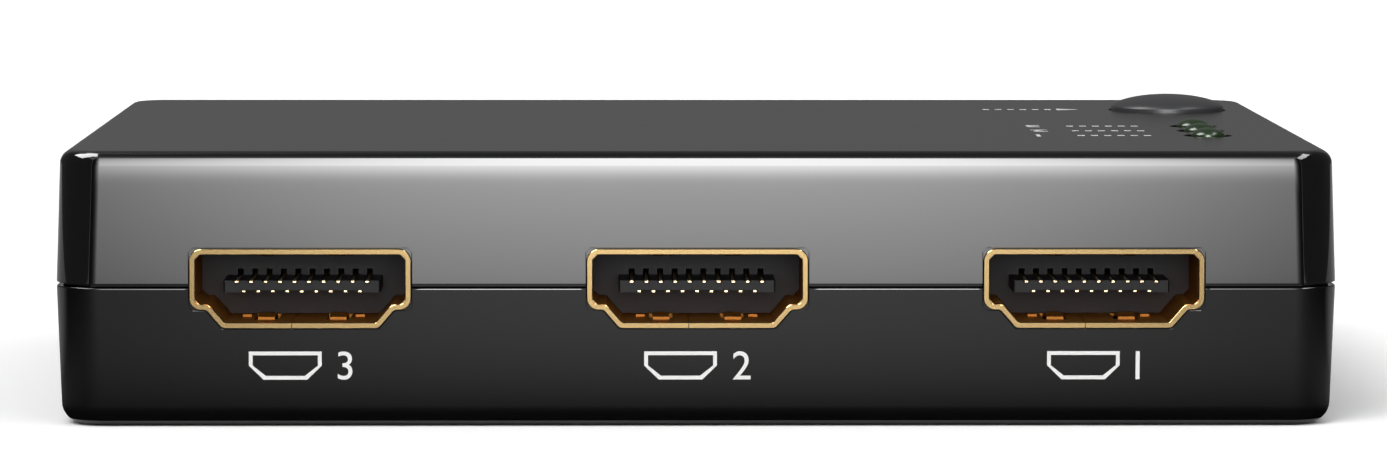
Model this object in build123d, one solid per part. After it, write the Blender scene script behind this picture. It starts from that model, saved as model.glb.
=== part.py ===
from build123d import *
import math
import os

# A video switch box: two moulded half shells, screwed together round one circuit board that
# carries four receptacles, a power jack, three lamps and the switch under the select button.
# Millimetres, +Z up. The origin is the middle of the underside, and the inputs face -Y.

# Case
case_width = 88.4
case_depth = 60.0
case_height = 19.0
draft_angle = 1.85
draft_upright_share = 0.5
side_wall = 1.9
top_wall = 1.9
floor_wall = 1.8
corner_radius = 3.0
top_edge_radius = 1.0
base_edge_radius = 1.5
cut_overrun = 1.0

# Parting between the half shells
parting_height = 9.65
parting_groove = 0.23
lip_setback = 0.5
lip_height = 1.15
lip_corner_cut = 2.0
lip_clearance = 0.05

# Corner posts, and the screws through two of them
post_side_inset = 5.4
post_front_inset = 5.5
post_rear_inset = 5.0
lower_post_width = 5.4
upper_post_width = 4.6
screw_shank_radius = 1.0
screw_head_radius = 1.85
screw_head_height = 1.2
screw_length = 12.0
screw_recess_width = 0.5
screw_recess_length = 2.2
screw_recess_depth = 0.7
screw_clearance = 0.15
thread_clearance = 0.03
head_clearance = 0.25
head_seat_height = 2.4
post_bore_spare = 1.0
gusset_thickness = 0.8
gusset_top_gap = 0.5
board_rail_thickness = 1.2

# Circuit board
board_thickness = 1.6
board_edge_gap = 0.6
board_hole_clearance = 0.15
lead_stub = 0.8

# Video receptacle: the folded metal shell
socket_side_inset = 16.95
socket_axis_height = 9.6
socket_proud = 0.1
socket_case_gap = 0.12
socket_case_corner = 0.3
socket_width = 15.0
socket_height = 5.28
socket_length = 10.9
socket_sheet = 0.28
socket_shoulder_drop = 1.37
socket_shoulder_width = 12.82
socket_floor_width = 10.62
socket_top_radius = 0.9
socket_side_radius = 0.75
socket_inner_cut = 0.36
seam_offset = -0.6
seam_width = 0.05
leg_width = 1.0
leg_front = 3.4
leg_rear = 9.0
window_start = 2.3
window_length = 4.2
window_inner_x = 1.65
window_width = 1.65
finger_width = 1.15
finger_rise = 0.42
finger_apex_share = 0.3
finger_tip_share = 0.06
finger_tip_rise_share = 0.4
nib_gap = 0.3
nib_width = 0.62
nib_height = 0.16
nib_length = 0.3

# Video receptacle: the insulator and its contacts
cavity_depth = 6.8
housing_clearance = 0.02
housing_corner_cut = 0.4
tongue_recess = 2.2
tongue_width = 10.8
tongue_top = 0.36
tongue_bottom = -0.46
tongue_edge_bevel = 0.1
contact_pitch = 1.0
upper_contacts = 10
lower_contacts = 9
contact_width = 0.3
contact_thickness = 0.16
tail_gap = 0.2
slot_width = 0.42
slot_height = 0.42

# Select button and the tactile switch under it
button_side_inset = 7.4
button_rear_inset = 13.5
button_radius = 4.3
button_gap = 0.2
button_rim_height = 0.2
button_crown = 1.0
button_dome_steps = 2
button_plate_width = 9.6
button_plate_thickness = 0.85
button_plate_gap = 0.05
button_stem_width = 3.2
switch_width = 6.0
switch_base_height = 3.2
switch_floor = 1.5
switch_well_width = 5.0
switch_cover_thickness = 0.25
switch_tab_width = 2.0
switch_tab_length = 1.5
plunger_width = 2.6
plunger_clearance = 0.08
plunger_foot_width = 4.4
plunger_height = 5.4
plunger_gap = 0.02
disc_length = 4.2
disc_width = 2.8
disc_height = 0.4
disc_slope = 0.9
disc_thickness = 0.08
terminal_width = 0.7
terminal_thickness = 0.25
terminal_offset = 2.25
terminal_top = 1.4

# Lamps
lamp_front_inset = 16.8
lamp_pitch = 5.1
lamp_count = 3
lamp_radius = 1.2
lamp_hole_gap = 0.54
lamp_body_height = 5.3
lamp_proud = 0.56
lamp_dome_steps = 2
lamp_lead_width = 0.5
lamp_lead_pitch = 2.54

# Power jack
jack_side_inset = 20.2
jack_width = 6.4
jack_height = 6.2
jack_length = 9.4
jack_case_gap = 0.12
jack_bore_radius = 1.8
jack_bore_depth = 7.6
jack_pin_radius = 0.65
jack_pin_recess = 0.6
jack_pin_clearance = 0.02
jack_spring_width = 1.2
jack_spring_thickness = 0.25
jack_spring_reach = 0.3
jack_spring_start = 2.8
jack_tab_thickness = 0.4
jack_tab_width = 1.2

# Switching chip
chip_x = 0.0
chip_y = -3.5
chip_width = 7.0
chip_height = 1.1
chip_standoff = 0.1
chip_lead_pitch = 1.0
chip_leads_per_side = 6
chip_lead_width = 0.35
chip_lead_thickness = 0.15
chip_lead_reach = 1.0
chip_edge_bevel = 0.15

# Supply and small parts
regulator_rear_inset = 17.0
regulator_width = 6.5
regulator_depth = 3.5
regulator_height = 1.6
regulator_lead_pitch = 2.3
regulator_lead_width = 0.7
regulator_lead_reach = 1.7
regulator_lead_thickness = 0.3
regulator_lead_count = 3
regulator_tab_width = 3.0
can_radius = 2.5
can_height = 5.4
can_foot_width = 5.3
can_foot_height = 0.9
can_offset = 8.5
chip_capacitor = (2.0, 1.25, 0.85)
chip_resistor = (1.6, 0.8, 0.45)
capacitor_ring_share = 0.85
resistor_row_gap = 3.2
resistor_spacing = 3.0
resistors_per_socket = 2

# Heights and places that follow from the sizes above
groove_top = parting_height + parting_groove
lip_top = parting_height + lip_height
ceiling = case_height - top_wall
board_top = socket_axis_height - socket_height / 2
board_bottom = board_top - board_thickness
stub_bottom = board_bottom - lead_stub
mouth_y = case_depth / 2 + socket_proud
socket_pitch = case_width / 2 - socket_side_inset
socket_sites = {
    "input_1": Pos(socket_pitch, -mouth_y, socket_axis_height),
    "input_2": Pos(0, -mouth_y, socket_axis_height),
    "input_3": Pos(-socket_pitch, -mouth_y, socket_axis_height),
    "output": Pos(0, mouth_y, socket_axis_height) * Rot(0, 0, 180),
}
jack_x = jack_side_inset - case_width / 2
jack_site = Pos(jack_x, case_depth / 2, board_top + jack_height / 2) * Rot(0, 0, 180)
regulator_y = case_depth / 2 - regulator_rear_inset
button_x = case_width / 2 - button_side_inset
button_y = case_depth / 2 - button_rear_inset
button_place = (button_x, button_y)
lamp_front_y = lamp_front_inset - case_depth / 2
lamp_places = [(button_x, lamp_front_y + index * lamp_pitch) for index in range(lamp_count)]
post_x = case_width / 2 - post_side_inset
post_places = [
    (side * post_x, y)
    for side in (-1, 1)
    for y in (post_front_inset - case_depth / 2, case_depth / 2 - post_rear_inset)
]
screw_places = [post_places[0], post_places[-1]]
leg_places = [
    (side * (socket_width - socket_sheet) / 2, depth + leg_width / 2)
    for side in (-1, 1)
    for depth in (leg_front, leg_rear)
]


def block(low, high):
    """The box between two opposite corners."""
    size = [b - a for a, b in zip(low, high)]
    return Pos(*low) * Box(*size, align=(Align.MIN, Align.MIN, Align.MIN))


def pillar(place, radius, low, high):
    """An upright cylinder between two heights."""
    x, y = place
    floor = (Align.CENTER, Align.CENTER, Align.MIN)
    return Pos(x, y, low) * Cylinder(radius, high - low, align=floor)


def post(place, width, low, high):
    """An upright square bar between two heights."""
    x, y = place
    half = width / 2
    return block((x - half, y - half, low), (x + half, y + half, high))


def turned(points):
    """The solid that a profile of (radius, height) points makes about the Z axis."""
    return revolve(make_face(Plane.XZ * Polyline(*points, close=True)), Axis.Z)


def dome_profile(radius, base, crown, steps):
    """(radius, height) points down a round dome, from its top to its rim, in equal turns."""
    sphere = (radius**2 + crown**2) / (2 * crown)
    centre = base + crown - sphere
    rim_turn = math.acos(1 - crown / sphere)
    turns = [rim_turn * index / steps for index in range(steps + 1)]
    return [(sphere * math.sin(turn), centre + sphere * math.cos(turn)) for turn in turns]


def inner_outline(inset):
    """A plain rectangle, drawn in from the case's plan by the inset."""
    return Rectangle(case_width - 2 * inset, case_depth - 2 * inset)


def lip_outline(inset):
    """The same rectangle with its corners cut to follow the case's."""
    return chamfer(inner_outline(inset).vertices(), lip_corner_cut)


def drafted_slab(inset, height):
    """A slab on a rectangle whose sides lean in by the draft."""
    return extrude(inner_outline(inset), height, taper=draft_angle)


def case_slab(height, edge_radius):
    """The outside of a half shell: drafted sides, round corners and a rounded outer edge."""
    slab = drafted_slab(0, height)
    uprights = slab.edges().filter_by(lambda edge: abs(edge.tangent_at(0).Z) > draft_upright_share)
    slab = fillet(uprights, corner_radius)
    return fillet(slab.edges().group_by(Axis.Z)[-1], edge_radius)


# Video receptacle, in its own frame: mouth at y = 0 facing -Y, its middle at the origin


def socket_corners():
    """The eight corners of the mouth, from the upper right one clockwise."""
    half_height = socket_height / 2
    right = [
        (socket_width / 2, half_height),
        (socket_width / 2, -socket_shoulder_drop),
        (socket_shoulder_width / 2, -socket_shoulder_drop),
        (socket_floor_width / 2, -half_height),
    ]
    return right + [(-x, z) for x, z in reversed(right)]


def plain_face():
    """The receptacle's outline with sharp corners."""
    return make_face(Polyline(*socket_corners(), close=True))


def socket_face():
    """The receptacle's outline: rounded top and sides, stepped shoulders, a narrower floor."""
    half = [socket_top_radius, socket_side_radius, 0, 0]
    outline = FilletPolyline(*socket_corners(), radius=half + half[::-1], close=True)
    return make_face(outline)


def socket_prism(face, start, end):
    """An outline of the mouth carried back between two depths."""
    return extrude(Plane.XZ.offset(-start) * face, start - end)


def outer_corners(face):
    """The four square corners of the outline, which stand furthest out on either side."""
    columns = face.vertices().group_by(Axis.X)
    return columns[0] + columns[-1]


def socket_cutout():
    """What the case wall leaves open round a receptacle."""
    grown = offset(plain_face(), socket_case_gap, kind=Kind.INTERSECTION)
    cut = chamfer(outer_corners(grown), socket_case_corner)
    return socket_prism(cut, -cut_overrun, side_wall + socket_proud + cut_overrun)


def socket_finger(side, face):
    """A sprung finger: rooted at the window's rear end, bent into the mouth and back."""
    root = window_start + window_length
    apex = window_start + window_length * finger_apex_share
    tip = window_start + window_length * finger_tip_share
    tip_rise = finger_rise * finger_tip_rise_share
    wall = socket_height / 2
    outer = [
        (root + socket_sheet, wall),
        (root, wall),
        (apex, wall - finger_rise),
        (tip, wall - tip_rise),
    ]
    inner = [(y, z - socket_sheet) for y, z in reversed(outer)]
    points = [(y, face * z) for y, z in outer + inner]
    centre = side * (window_inner_x + window_width / 2)
    strip = extrude(Plane.YZ * make_face(Polyline(*points, close=True)), finger_width / 2, both=True)
    return Pos(centre, 0, 0) * strip


def socket_window(side, face):
    """The opening that a finger springs through."""
    centre = side * (window_inner_x + window_width / 2)
    middle = window_start + window_length / 2
    wall = face * (socket_height - socket_sheet) / 2
    return Pos(centre, middle, wall) * Box(window_width, window_length, 2 * socket_sheet)


def socket_nib(side):
    """A small pressed stop beside a floor window."""
    near = window_inner_x + window_width + nib_gap
    middle = window_start + window_length / 2
    floor = socket_sheet - socket_height / 2
    low = (near, middle, floor - socket_sheet / 2)
    high = (near + nib_width, middle + nib_length, floor + nib_height)
    nib = block(low, high)
    return nib if side > 0 else mirror(nib, about=Plane.YZ)


def socket_leg(place):
    """A leg that runs down from the side wall and through the board."""
    x, y = place
    top = -socket_shoulder_drop / 2
    bottom = -socket_height / 2 - board_thickness - lead_stub
    middle = (top + bottom) / 2
    return Pos(x, y, middle) * Box(socket_sheet, leg_width, top - bottom)


def socket_shell():
    """The folded sheet: a seamed tube with windows, fingers, stops and legs."""
    outer = socket_face()
    inner = offset(plain_face(), -socket_sheet, kind=Kind.INTERSECTION)
    inner = chamfer(outer_corners(inner), socket_inner_cut)
    shell = socket_prism(outer, 0, socket_length)
    shell -= socket_prism(inner, -cut_overrun, socket_length + cut_overrun)
    seam_height = (socket_sheet - socket_height) / 2
    seam = Box(seam_width, socket_length + cut_overrun, 2 * socket_sheet)
    shell -= Pos(seam_offset, socket_length / 2, seam_height) * seam
    for side in (-1, 1):
        for face in (-1, 1):
            shell -= socket_window(side, face)
            shell += socket_finger(side, face)
        shell += socket_nib(side)
    for place in leg_places:
        shell += socket_leg(place)
    return shell


def contact_rows():
    """Each contact's offset across the mouth, and whether it lies on top of the tongue."""
    rows = []
    for count, above in ((upper_contacts, True), (lower_contacts, False)):
        first = -contact_pitch * (count - 1) / 2
        rows += [(first + index * contact_pitch, above) for index in range(count)]
    return rows


def contact_levels(above):
    """The lower and upper height of a contact's run along the tongue."""
    if above:
        return tongue_top - contact_thickness, tongue_top
    return tongue_bottom, tongue_bottom + contact_thickness


def socket_contact(x, above):
    """One contact: flush in the tongue, out of the back and down to the board."""
    low, high = contact_levels(above)
    board = -socket_height / 2
    tail = socket_length + tail_gap
    points = [
        (tongue_recess, low),
        (tongue_recess, high),
        (tail + contact_thickness, high),
        (tail + contact_thickness, board),
        (tail, board),
        (tail, low),
    ]
    strip = make_face(Plane.YZ * Polyline(*points, close=True))
    return Pos(x, 0, 0) * extrude(strip, contact_width / 2, both=True)


def contact_slot(x):
    """The groove of an upper contact, which goes on through the block as a taller slot."""
    half = slot_width / 2
    floor = tongue_top - contact_thickness
    return block((x - half, tongue_recess, floor), (x + half, socket_length, tongue_top + slot_height))


def lower_recess():
    """The one shallow recess under the tongue that the lower contacts share."""
    half = (contact_pitch * (lower_contacts - 1) + slot_width) / 2
    top = tongue_bottom + contact_thickness
    return block((-half, tongue_recess, tongue_bottom), (half, socket_length, top))


def socket_housing():
    """The insulator: a block behind the cavity, and the slotted tongue that it carries."""
    drawn_in = socket_sheet + housing_clearance
    outline = offset(plain_face(), -drawn_in, kind=Kind.INTERSECTION)
    outline = chamfer(outer_corners(outline), housing_corner_cut)
    housing = socket_prism(outline, cavity_depth, socket_length)
    half = tongue_width / 2
    tongue = block((-half, tongue_recess, tongue_bottom), (half, cavity_depth, tongue_top))
    tip = tongue.faces().sort_by(Axis.Y)[0].edges().filter_by(Axis.Z)
    housing += chamfer(tip, tongue_edge_bevel)
    for x, above in contact_rows():
        if above:
            housing -= contact_slot(x)
    return housing - lower_recess()


# Power jack, in its own frame: mouth at y = 0 facing -Y, the pin on the Y axis


def jack_body():
    """The moulded jack: a block with a round bore and a pocket for the side spring."""
    half = jack_width / 2
    rise = jack_height / 2
    body = block((-half, 0, -rise), (half, jack_length, rise))
    body -= extrude(Plane.XZ * Circle(jack_bore_radius), -jack_bore_depth)
    hole = jack_tab_width / 2 + jack_pin_clearance
    body -= block((-hole, jack_bore_depth, -hole), (hole, jack_length, hole))
    pocket_low = (-jack_bore_radius - jack_spring_reach, jack_spring_start, -jack_spring_width / 2)
    pocket_high = (-hole - jack_spring_thickness, jack_length, jack_spring_width / 2)
    return body - block(pocket_low, pocket_high)


def jack_pin():
    """The round centre pin, its square root and the tab that goes down into the board."""
    start = Plane.XZ.offset(-jack_pin_recess)
    pin = extrude(start * Circle(jack_pin_radius), jack_pin_recess - jack_bore_depth)
    half = jack_tab_width / 2
    rear = jack_length + jack_tab_thickness
    pin += block((-half, jack_bore_depth, -half), (half, rear, half))
    bottom = -jack_height / 2 - board_thickness - lead_stub
    return pin + block((-half, jack_length, bottom), (half, rear, half))


def jack_spring():
    """The leaf that presses on the plug's side, with its own tab behind."""
    outside = -jack_bore_radius - jack_spring_reach
    inside = outside + jack_spring_thickness
    half = jack_spring_width / 2
    rear = jack_length + jack_tab_thickness
    leaf = block((outside, jack_spring_start, -half), (inside, rear, half))
    bottom = -jack_height / 2 - board_thickness - lead_stub
    return leaf + block((outside, jack_length, bottom), (inside, rear, half))


# Case


def jack_cutout():
    """The opening in the rear wall, round the jack's face."""
    half = jack_width / 2 + jack_case_gap
    rise = jack_height / 2 + jack_case_gap
    return jack_site * block((-half, -cut_overrun, -rise), (half, side_wall + cut_overrun, rise))


def wall_openings(shell):
    """Cuts the four receptacle openings and the jack's from a half shell."""
    opening = socket_cutout()
    for site in socket_sites.values():
        shell -= site * opening
    return shell - jack_cutout()


def gusset(place, low, high):
    """A web from the middle of a corner post to the side wall beside it."""
    x, y = place
    half = gusset_thickness / 2
    wall = math.copysign(case_width / 2 - side_wall, x)
    near, far = sorted((x, wall))
    return block((near, y - half, low), (far, y + half, high))


def lower_shell():
    """The tray: drafted walls, a lip that centres the upper shell, posts and board rails."""
    body = mirror(case_slab(parting_height, base_edge_radius), about=Plane.XY)
    body += extrude(lip_outline(lip_setback), lip_height)
    body -= extrude(inner_outline(side_wall), lip_height)
    hollow_depth = parting_height - floor_wall
    body -= mirror(drafted_slab(side_wall, hollow_depth), about=Plane.XY)
    body = Pos(0, 0, parting_height) * body
    rail_depth = case_depth - 2 * side_wall
    rail_height = board_bottom - floor_wall
    for side in (-1, 1):
        rail_site = Pos(side * socket_pitch / 2, 0, (floor_wall + board_bottom) / 2)
        body += rail_site * Box(board_rail_thickness, rail_depth, rail_height)
    for place in post_places:
        body += post(place, lower_post_width, floor_wall, board_bottom)
        body += gusset(place, floor_wall, board_bottom - gusset_top_gap)
    for place in screw_places:
        body -= pillar(place, screw_shank_radius + screw_clearance, 0, board_bottom)
        body -= pillar(place, screw_head_radius + head_clearance, 0, head_seat_height)
    return wall_openings(body)


def upper_shell():
    """The cover: drafted walls rebated over the lip, corner posts, button and lamp holes."""
    cover = case_slab(case_height - groove_top, top_edge_radius)
    cover -= drafted_slab(side_wall, ceiling - groove_top)
    cover -= extrude(lip_outline(lip_setback - lip_clearance), lip_top - groove_top)
    cover = Pos(0, 0, groove_top) * cover
    for place in post_places:
        cover += post(place, upper_post_width, board_top, ceiling)
        cover += gusset(place, lip_top + gusset_top_gap, ceiling)
    for place in screw_places:
        bore_top = head_seat_height + screw_length + post_bore_spare
        cover -= pillar(place, screw_shank_radius + thread_clearance, board_top, bore_top)
    cover -= pillar(button_place, button_radius + button_gap, ceiling, case_height)
    for place in lamp_places:
        cover -= pillar(place, lamp_radius + lamp_hole_gap, ceiling, case_height)
    return wall_openings(cover)


def case_screw(place):
    """A pan-head self-tapping screw, head down, with a cross recess."""
    head = screw_head_height
    points = [
        (0, -head),
        (screw_head_radius, -head),
        (screw_head_radius, 0),
        (screw_shank_radius, 0),
        (screw_shank_radius, screw_length),
        (0, screw_length),
    ]
    screw = turned(points)
    recess = Box(screw_recess_length, screw_recess_width, 2 * screw_recess_depth)
    recess += Box(screw_recess_width, screw_recess_length, 2 * screw_recess_depth)
    screw -= Pos(0, 0, -head) * recess
    x, y = place
    return Pos(x, y, head_seat_height) * screw


# Circuit board and what stands on it


def slot_through_board(x, y, width, depth):
    """An opening in the board for a flat leg, with clearance all round."""
    clear = 2 * board_hole_clearance
    middle = (board_top + board_bottom) / 2
    return Pos(x, y, middle) * Box(width + clear, depth + clear, 2 * board_thickness)


def screw_notch(place):
    """The notch in the board's side edge that a screw passes through."""
    x, y = place
    half = screw_shank_radius + screw_clearance
    inner = x - math.copysign(half, x)
    near, far = sorted((inner, math.copysign(case_width / 2, x)))
    return block((near, y - half, board_bottom), (far, y + half, board_top))


def circuit_board():
    """The board, notched for the screws and slotted for every leg that passes through it."""
    outline = inner_outline(side_wall + board_edge_gap)
    board = Pos(0, 0, board_bottom) * extrude(outline, board_thickness)
    for place in screw_places:
        board -= screw_notch(place)
    for site in socket_sites.values():
        for x, y in leg_places:
            spot = (site * Pos(x, y, 0)).position
            board -= slot_through_board(spot.X, spot.Y, socket_sheet, leg_width)
    for x, y in lamp_places:
        for side in (-1, 1):
            lead_x = x + side * lamp_lead_pitch / 2
            board -= slot_through_board(lead_x, y, lamp_lead_width, lamp_lead_width)
    for x, y in terminal_places():
        board -= slot_through_board(x, y, terminal_thickness, terminal_width)
    rear = jack_length + jack_tab_thickness / 2
    pin = (jack_site * Pos(0, rear, 0)).position
    board -= slot_through_board(pin.X, pin.Y, jack_tab_width, jack_tab_thickness)
    spring_x = jack_spring_thickness / 2 - jack_bore_radius - jack_spring_reach
    spring = (jack_site * Pos(spring_x, rear, 0)).position
    board -= slot_through_board(spring.X, spring.Y, jack_spring_thickness, jack_tab_thickness)
    return board


def terminal_places():
    """The middle of each of the tactile switch's four legs."""
    reach = (switch_width + terminal_thickness) / 2
    return [
        (button_x + across * reach, button_y + along * terminal_offset)
        for across in (-1, 1)
        for along in (-1, 1)
    ]


def switch_base():
    """The tactile switch's moulded base, with the well that the disc lies in."""
    top = board_top + switch_base_height
    well = post(button_place, switch_well_width, board_top + switch_floor, top)
    return post(button_place, switch_width, board_top, top) - well


def switch_terminals():
    """The four flat legs at the sides of the base."""
    half_x = terminal_thickness / 2
    half_y = terminal_width / 2
    top = board_top + terminal_top
    return [
        block((x - half_x, y - half_y, stub_bottom), (x + half_x, y + half_y, top))
        for x, y in terminal_places()
    ]


def switch_dome():
    """The snap spring: a strip of sheet metal bowed up on the floor of the well."""
    half = disc_length / 2
    top = half - disc_slope
    points = [
        (-half, 0),
        (-top, disc_height),
        (top, disc_height),
        (half, 0),
        (half - disc_thickness, 0),
        (top - disc_thickness / 2, disc_height - disc_thickness),
        (disc_thickness / 2 - top, disc_height - disc_thickness),
        (disc_thickness - half, 0),
    ]
    profile = make_face(Plane.XZ * Polyline(*points, close=True))
    return Pos(button_x, button_y, board_top + switch_floor) * extrude(profile, disc_width / 2, both=True)


def switch_plunger():
    """The plunger: a square foot held under the cover, and the pin that the button stands on."""
    floor = board_top + switch_floor + disc_height + plunger_gap
    foot_top = board_top + switch_base_height - plunger_gap
    foot = post(button_place, plunger_foot_width, floor, foot_top)
    return foot + post(button_place, plunger_width, floor, board_top + plunger_height)


def switch_cover():
    """The sheet cover, folded down over two sides of the base."""
    half = switch_width / 2
    low = board_top + switch_base_height
    high = low + switch_cover_thickness
    cover = post(button_place, switch_width, low, high)
    for side in (-1, 1):
        near, far = sorted((side * half, side * (half + switch_cover_thickness)))
        tab_half = switch_tab_width / 2
        tab_low = (button_x - tab_half, button_y + near, low - switch_tab_length)
        tab_high = (button_x + tab_half, button_y + far, high)
        cover += block(tab_low, tab_high)
    return cover - post(button_place, plunger_width + 2 * plunger_clearance, low, high)


def select_button():
    """The cap: domed top, a square plate that stays under the cover, and a stem."""
    rim = case_height + button_rim_height
    plate_top = ceiling - button_plate_gap
    plate_bottom = plate_top - button_plate_thickness
    profile = dome_profile(button_radius, rim, button_crown, button_dome_steps)
    profile += [(button_radius, plate_top), (0, plate_top)]
    cap = Pos(button_x, button_y, 0) * turned(profile)
    cap += post(button_place, button_plate_width, plate_bottom, plate_top)
    return cap + post(button_place, button_stem_width, board_top + plunger_height, plate_bottom)


def lamp(place):
    """One indicator lamp: a barrel with a domed top that stands out of its hole."""
    x, y = place
    bottom = case_height + lamp_proud - lamp_body_height
    profile = dome_profile(lamp_radius, case_height, lamp_proud, lamp_dome_steps)
    profile += [(lamp_radius, bottom), (0, bottom)]
    return Pos(x, y, 0) * turned(profile)


def lamp_leads():
    """Two square wires under each lamp, down through the board."""
    top = case_height + lamp_proud - lamp_body_height
    half = lamp_lead_width / 2
    leads = []
    for x, y in lamp_places:
        for side in (-1, 1):
            middle = x + side * lamp_lead_pitch / 2
            low = (middle - half, y - half, stub_bottom)
            leads.append(block(low, (middle + half, y + half, top)))
    return leads


def switch_chip():
    """The flat square chip with bevelled top edges."""
    low = board_top + chip_standoff
    chip = post((chip_x, chip_y), chip_width, low, low + chip_height)
    return chamfer(chip.edges().group_by(Axis.Z)[-1], chip_edge_bevel)


def chip_leads():
    """Sloped leads on all four sides of the chip."""
    half = chip_width / 2
    tip = half + chip_lead_reach
    exit_height = chip_standoff + chip_height / 2
    points = [
        (half, exit_height),
        (half, exit_height - chip_lead_thickness),
        (tip - chip_lead_thickness, 0),
        (tip, 0),
    ]
    wing = extrude(make_face(Plane.YZ * Polyline(*points, close=True)), chip_lead_width / 2, both=True)
    leads = []
    for turn in range(0, 360, 90):
        for index in range(chip_leads_per_side):
            shift = (index - (chip_leads_per_side - 1) / 2) * chip_lead_pitch
            leads.append(Pos(chip_x, chip_y, board_top) * Rot(0, 0, turn) * Pos(shift, 0, 0) * wing)
    return leads


def regulator():
    """The supply regulator's body, flat on the board."""
    size = (regulator_width, regulator_depth, regulator_height)
    return chip_part(size, jack_x, regulator_y)


def regulator_leads():
    """Three leads on one side of the regulator and its wide tab on the other."""
    top = board_top + regulator_lead_thickness
    edge = regulator_y + regulator_depth / 2
    outer = edge + regulator_lead_reach
    half_tab = regulator_tab_width / 2
    leads = [block((jack_x - half_tab, edge, board_top), (jack_x + half_tab, outer, top))]
    near = regulator_y - regulator_depth / 2
    half = regulator_lead_width / 2
    for index in range(regulator_lead_count):
        x = jack_x + (index - (regulator_lead_count - 1) / 2) * regulator_lead_pitch
        leads.append(block((x - half, near - regulator_lead_reach, board_top), (x + half, near, top)))
    return leads


def chip_part(size, x, y):
    """A plain surface-mounted part on the board."""
    width, depth, height = size
    low = (x - width / 2, y - depth / 2, board_top)
    return block(low, (x + width / 2, y + depth / 2, board_top + height))


def capacitors():
    """One can beside the regulator, and a chip capacitor off each corner of the chip."""
    place = (jack_x - can_offset, regulator_y)
    can = pillar(place, can_radius, board_top, board_top + can_height)
    parts = [can + post(place, can_foot_width, board_top, board_top + can_foot_height)]
    ring = (chip_width + 2 * chip_lead_reach) * capacitor_ring_share
    for across in (-1, 1):
        for along in (-1, 1):
            parts.append(chip_part(chip_capacitor, chip_x + across * ring, chip_y + along * ring / 2))
    return parts


def resistors():
    """A short row of chip resistors behind each receptacle."""
    parts = []
    depth = socket_length + resistor_row_gap
    for site in socket_sites.values():
        for index in range(resistors_per_socket):
            across = (index - (resistors_per_socket - 1) / 2) * resistor_spacing
            spot = (site * Pos(across, depth, 0)).position
            parts.append(chip_part(chip_resistor, spot.X, spot.Y))
    return parts


def write(node, shapes):
    """Writes one node, which may be a group of separate solids."""
    group = shapes if isinstance(shapes, list) else [shapes]
    solids = [solid for shape in group for solid in shape.solids()]
    whole = solids[0] if len(solids) == 1 else Compound(children=solids)
    export_step(whole, os.path.join("parts", node + ".step"))


os.makedirs("parts", exist_ok=True)
write("upper_shell", upper_shell())
write("lower_shell", lower_shell())
write("case_screws", [case_screw(place) for place in screw_places])
write("circuit_board", circuit_board())
metal = socket_shell()
insulator = socket_housing()
contacts = [socket_contact(x, above) for x, above in contact_rows()]
for socket, site in socket_sites.items():
    write(socket + "_shell", site * metal)
    write(socket + "_housing", site * insulator)
    write(socket + "_contacts", [site * contact for contact in contacts])
write("power_jack_body", jack_site * jack_body())
write("power_jack_pin", jack_site * jack_pin())
write("power_jack_spring", jack_site * jack_spring())
write("select_button", select_button())
write("switch_base", switch_base())
write("switch_terminals", switch_terminals())
write("switch_dome", switch_dome())
write("switch_plunger", switch_plunger())
write("switch_cover", switch_cover())
for number, place in enumerate(lamp_places, start=1):
    write("lamp_" + str(number), lamp(place))
write("lamp_leads", lamp_leads())
write("switch_chip", switch_chip())
write("chip_leads", chip_leads())
write("regulator", regulator())
write("regulator_leads", regulator_leads())
write("capacitors", capacitors())
write("resistors", resistors())
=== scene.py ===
import math

import bmesh
import bpy
import numpy as np
from mathutils import Matrix, Vector


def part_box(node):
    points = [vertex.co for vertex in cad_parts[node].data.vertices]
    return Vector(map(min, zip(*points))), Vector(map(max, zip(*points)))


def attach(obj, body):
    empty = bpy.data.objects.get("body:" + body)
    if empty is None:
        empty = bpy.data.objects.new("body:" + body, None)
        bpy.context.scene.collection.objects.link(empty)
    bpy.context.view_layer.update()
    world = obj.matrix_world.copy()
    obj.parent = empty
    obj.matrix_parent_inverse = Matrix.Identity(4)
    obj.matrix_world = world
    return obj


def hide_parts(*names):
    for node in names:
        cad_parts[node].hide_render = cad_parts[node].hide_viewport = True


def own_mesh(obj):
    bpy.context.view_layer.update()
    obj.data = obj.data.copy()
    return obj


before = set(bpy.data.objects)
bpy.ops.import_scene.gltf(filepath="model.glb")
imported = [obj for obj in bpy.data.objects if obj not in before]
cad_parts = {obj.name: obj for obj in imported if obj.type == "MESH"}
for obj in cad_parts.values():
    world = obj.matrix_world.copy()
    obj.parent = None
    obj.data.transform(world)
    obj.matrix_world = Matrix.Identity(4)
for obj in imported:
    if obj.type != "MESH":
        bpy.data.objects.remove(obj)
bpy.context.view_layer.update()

# A video switch box: a glossy black case of two moulded halves, three gold receptacles in front and
# one behind, a domed select button and three green lamps on top. Metres, in the part's own frame.

MM = 0.001
render_levels = 2


# The two half shells are moulded in black plastic, with glossy walls and a top of finer satin grain.
# Each is the moulding's own surface with its sharp outer edges broken by a hair's breadth. The lower
# half's edge at the parting is the roundest of them, and catches the light as a thin line.

case_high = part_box("upper_shell")[1]
case_half_width = case_high.x
case_half_depth = case_high.y
case_top = case_high.z
case_draft = math.radians(1.85)
parting = 9.65 * MM

edge_break = 0.12 * MM
edge_share = 0.5
edge_cuts = 15
shortest_cut_edge = 0.9 * MM
skin_depth = 0.9 * MM
flat_face_weight = 100
crease_angle = math.radians(30)
flat_angle = math.radians(0.4)
weld_distance = 0.0005 * MM

gloss_black = (0.004, 0.004, 0.0042)
gloss_roughness = 0.03
gloss_ripple = 0.01
gloss_ripple_scale = 160.0
gloss_ripple_detail = 3.0
satin_roughness = 0.26
satin_blend = 0.35 * MM
plastic_ior = 1.54


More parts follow.
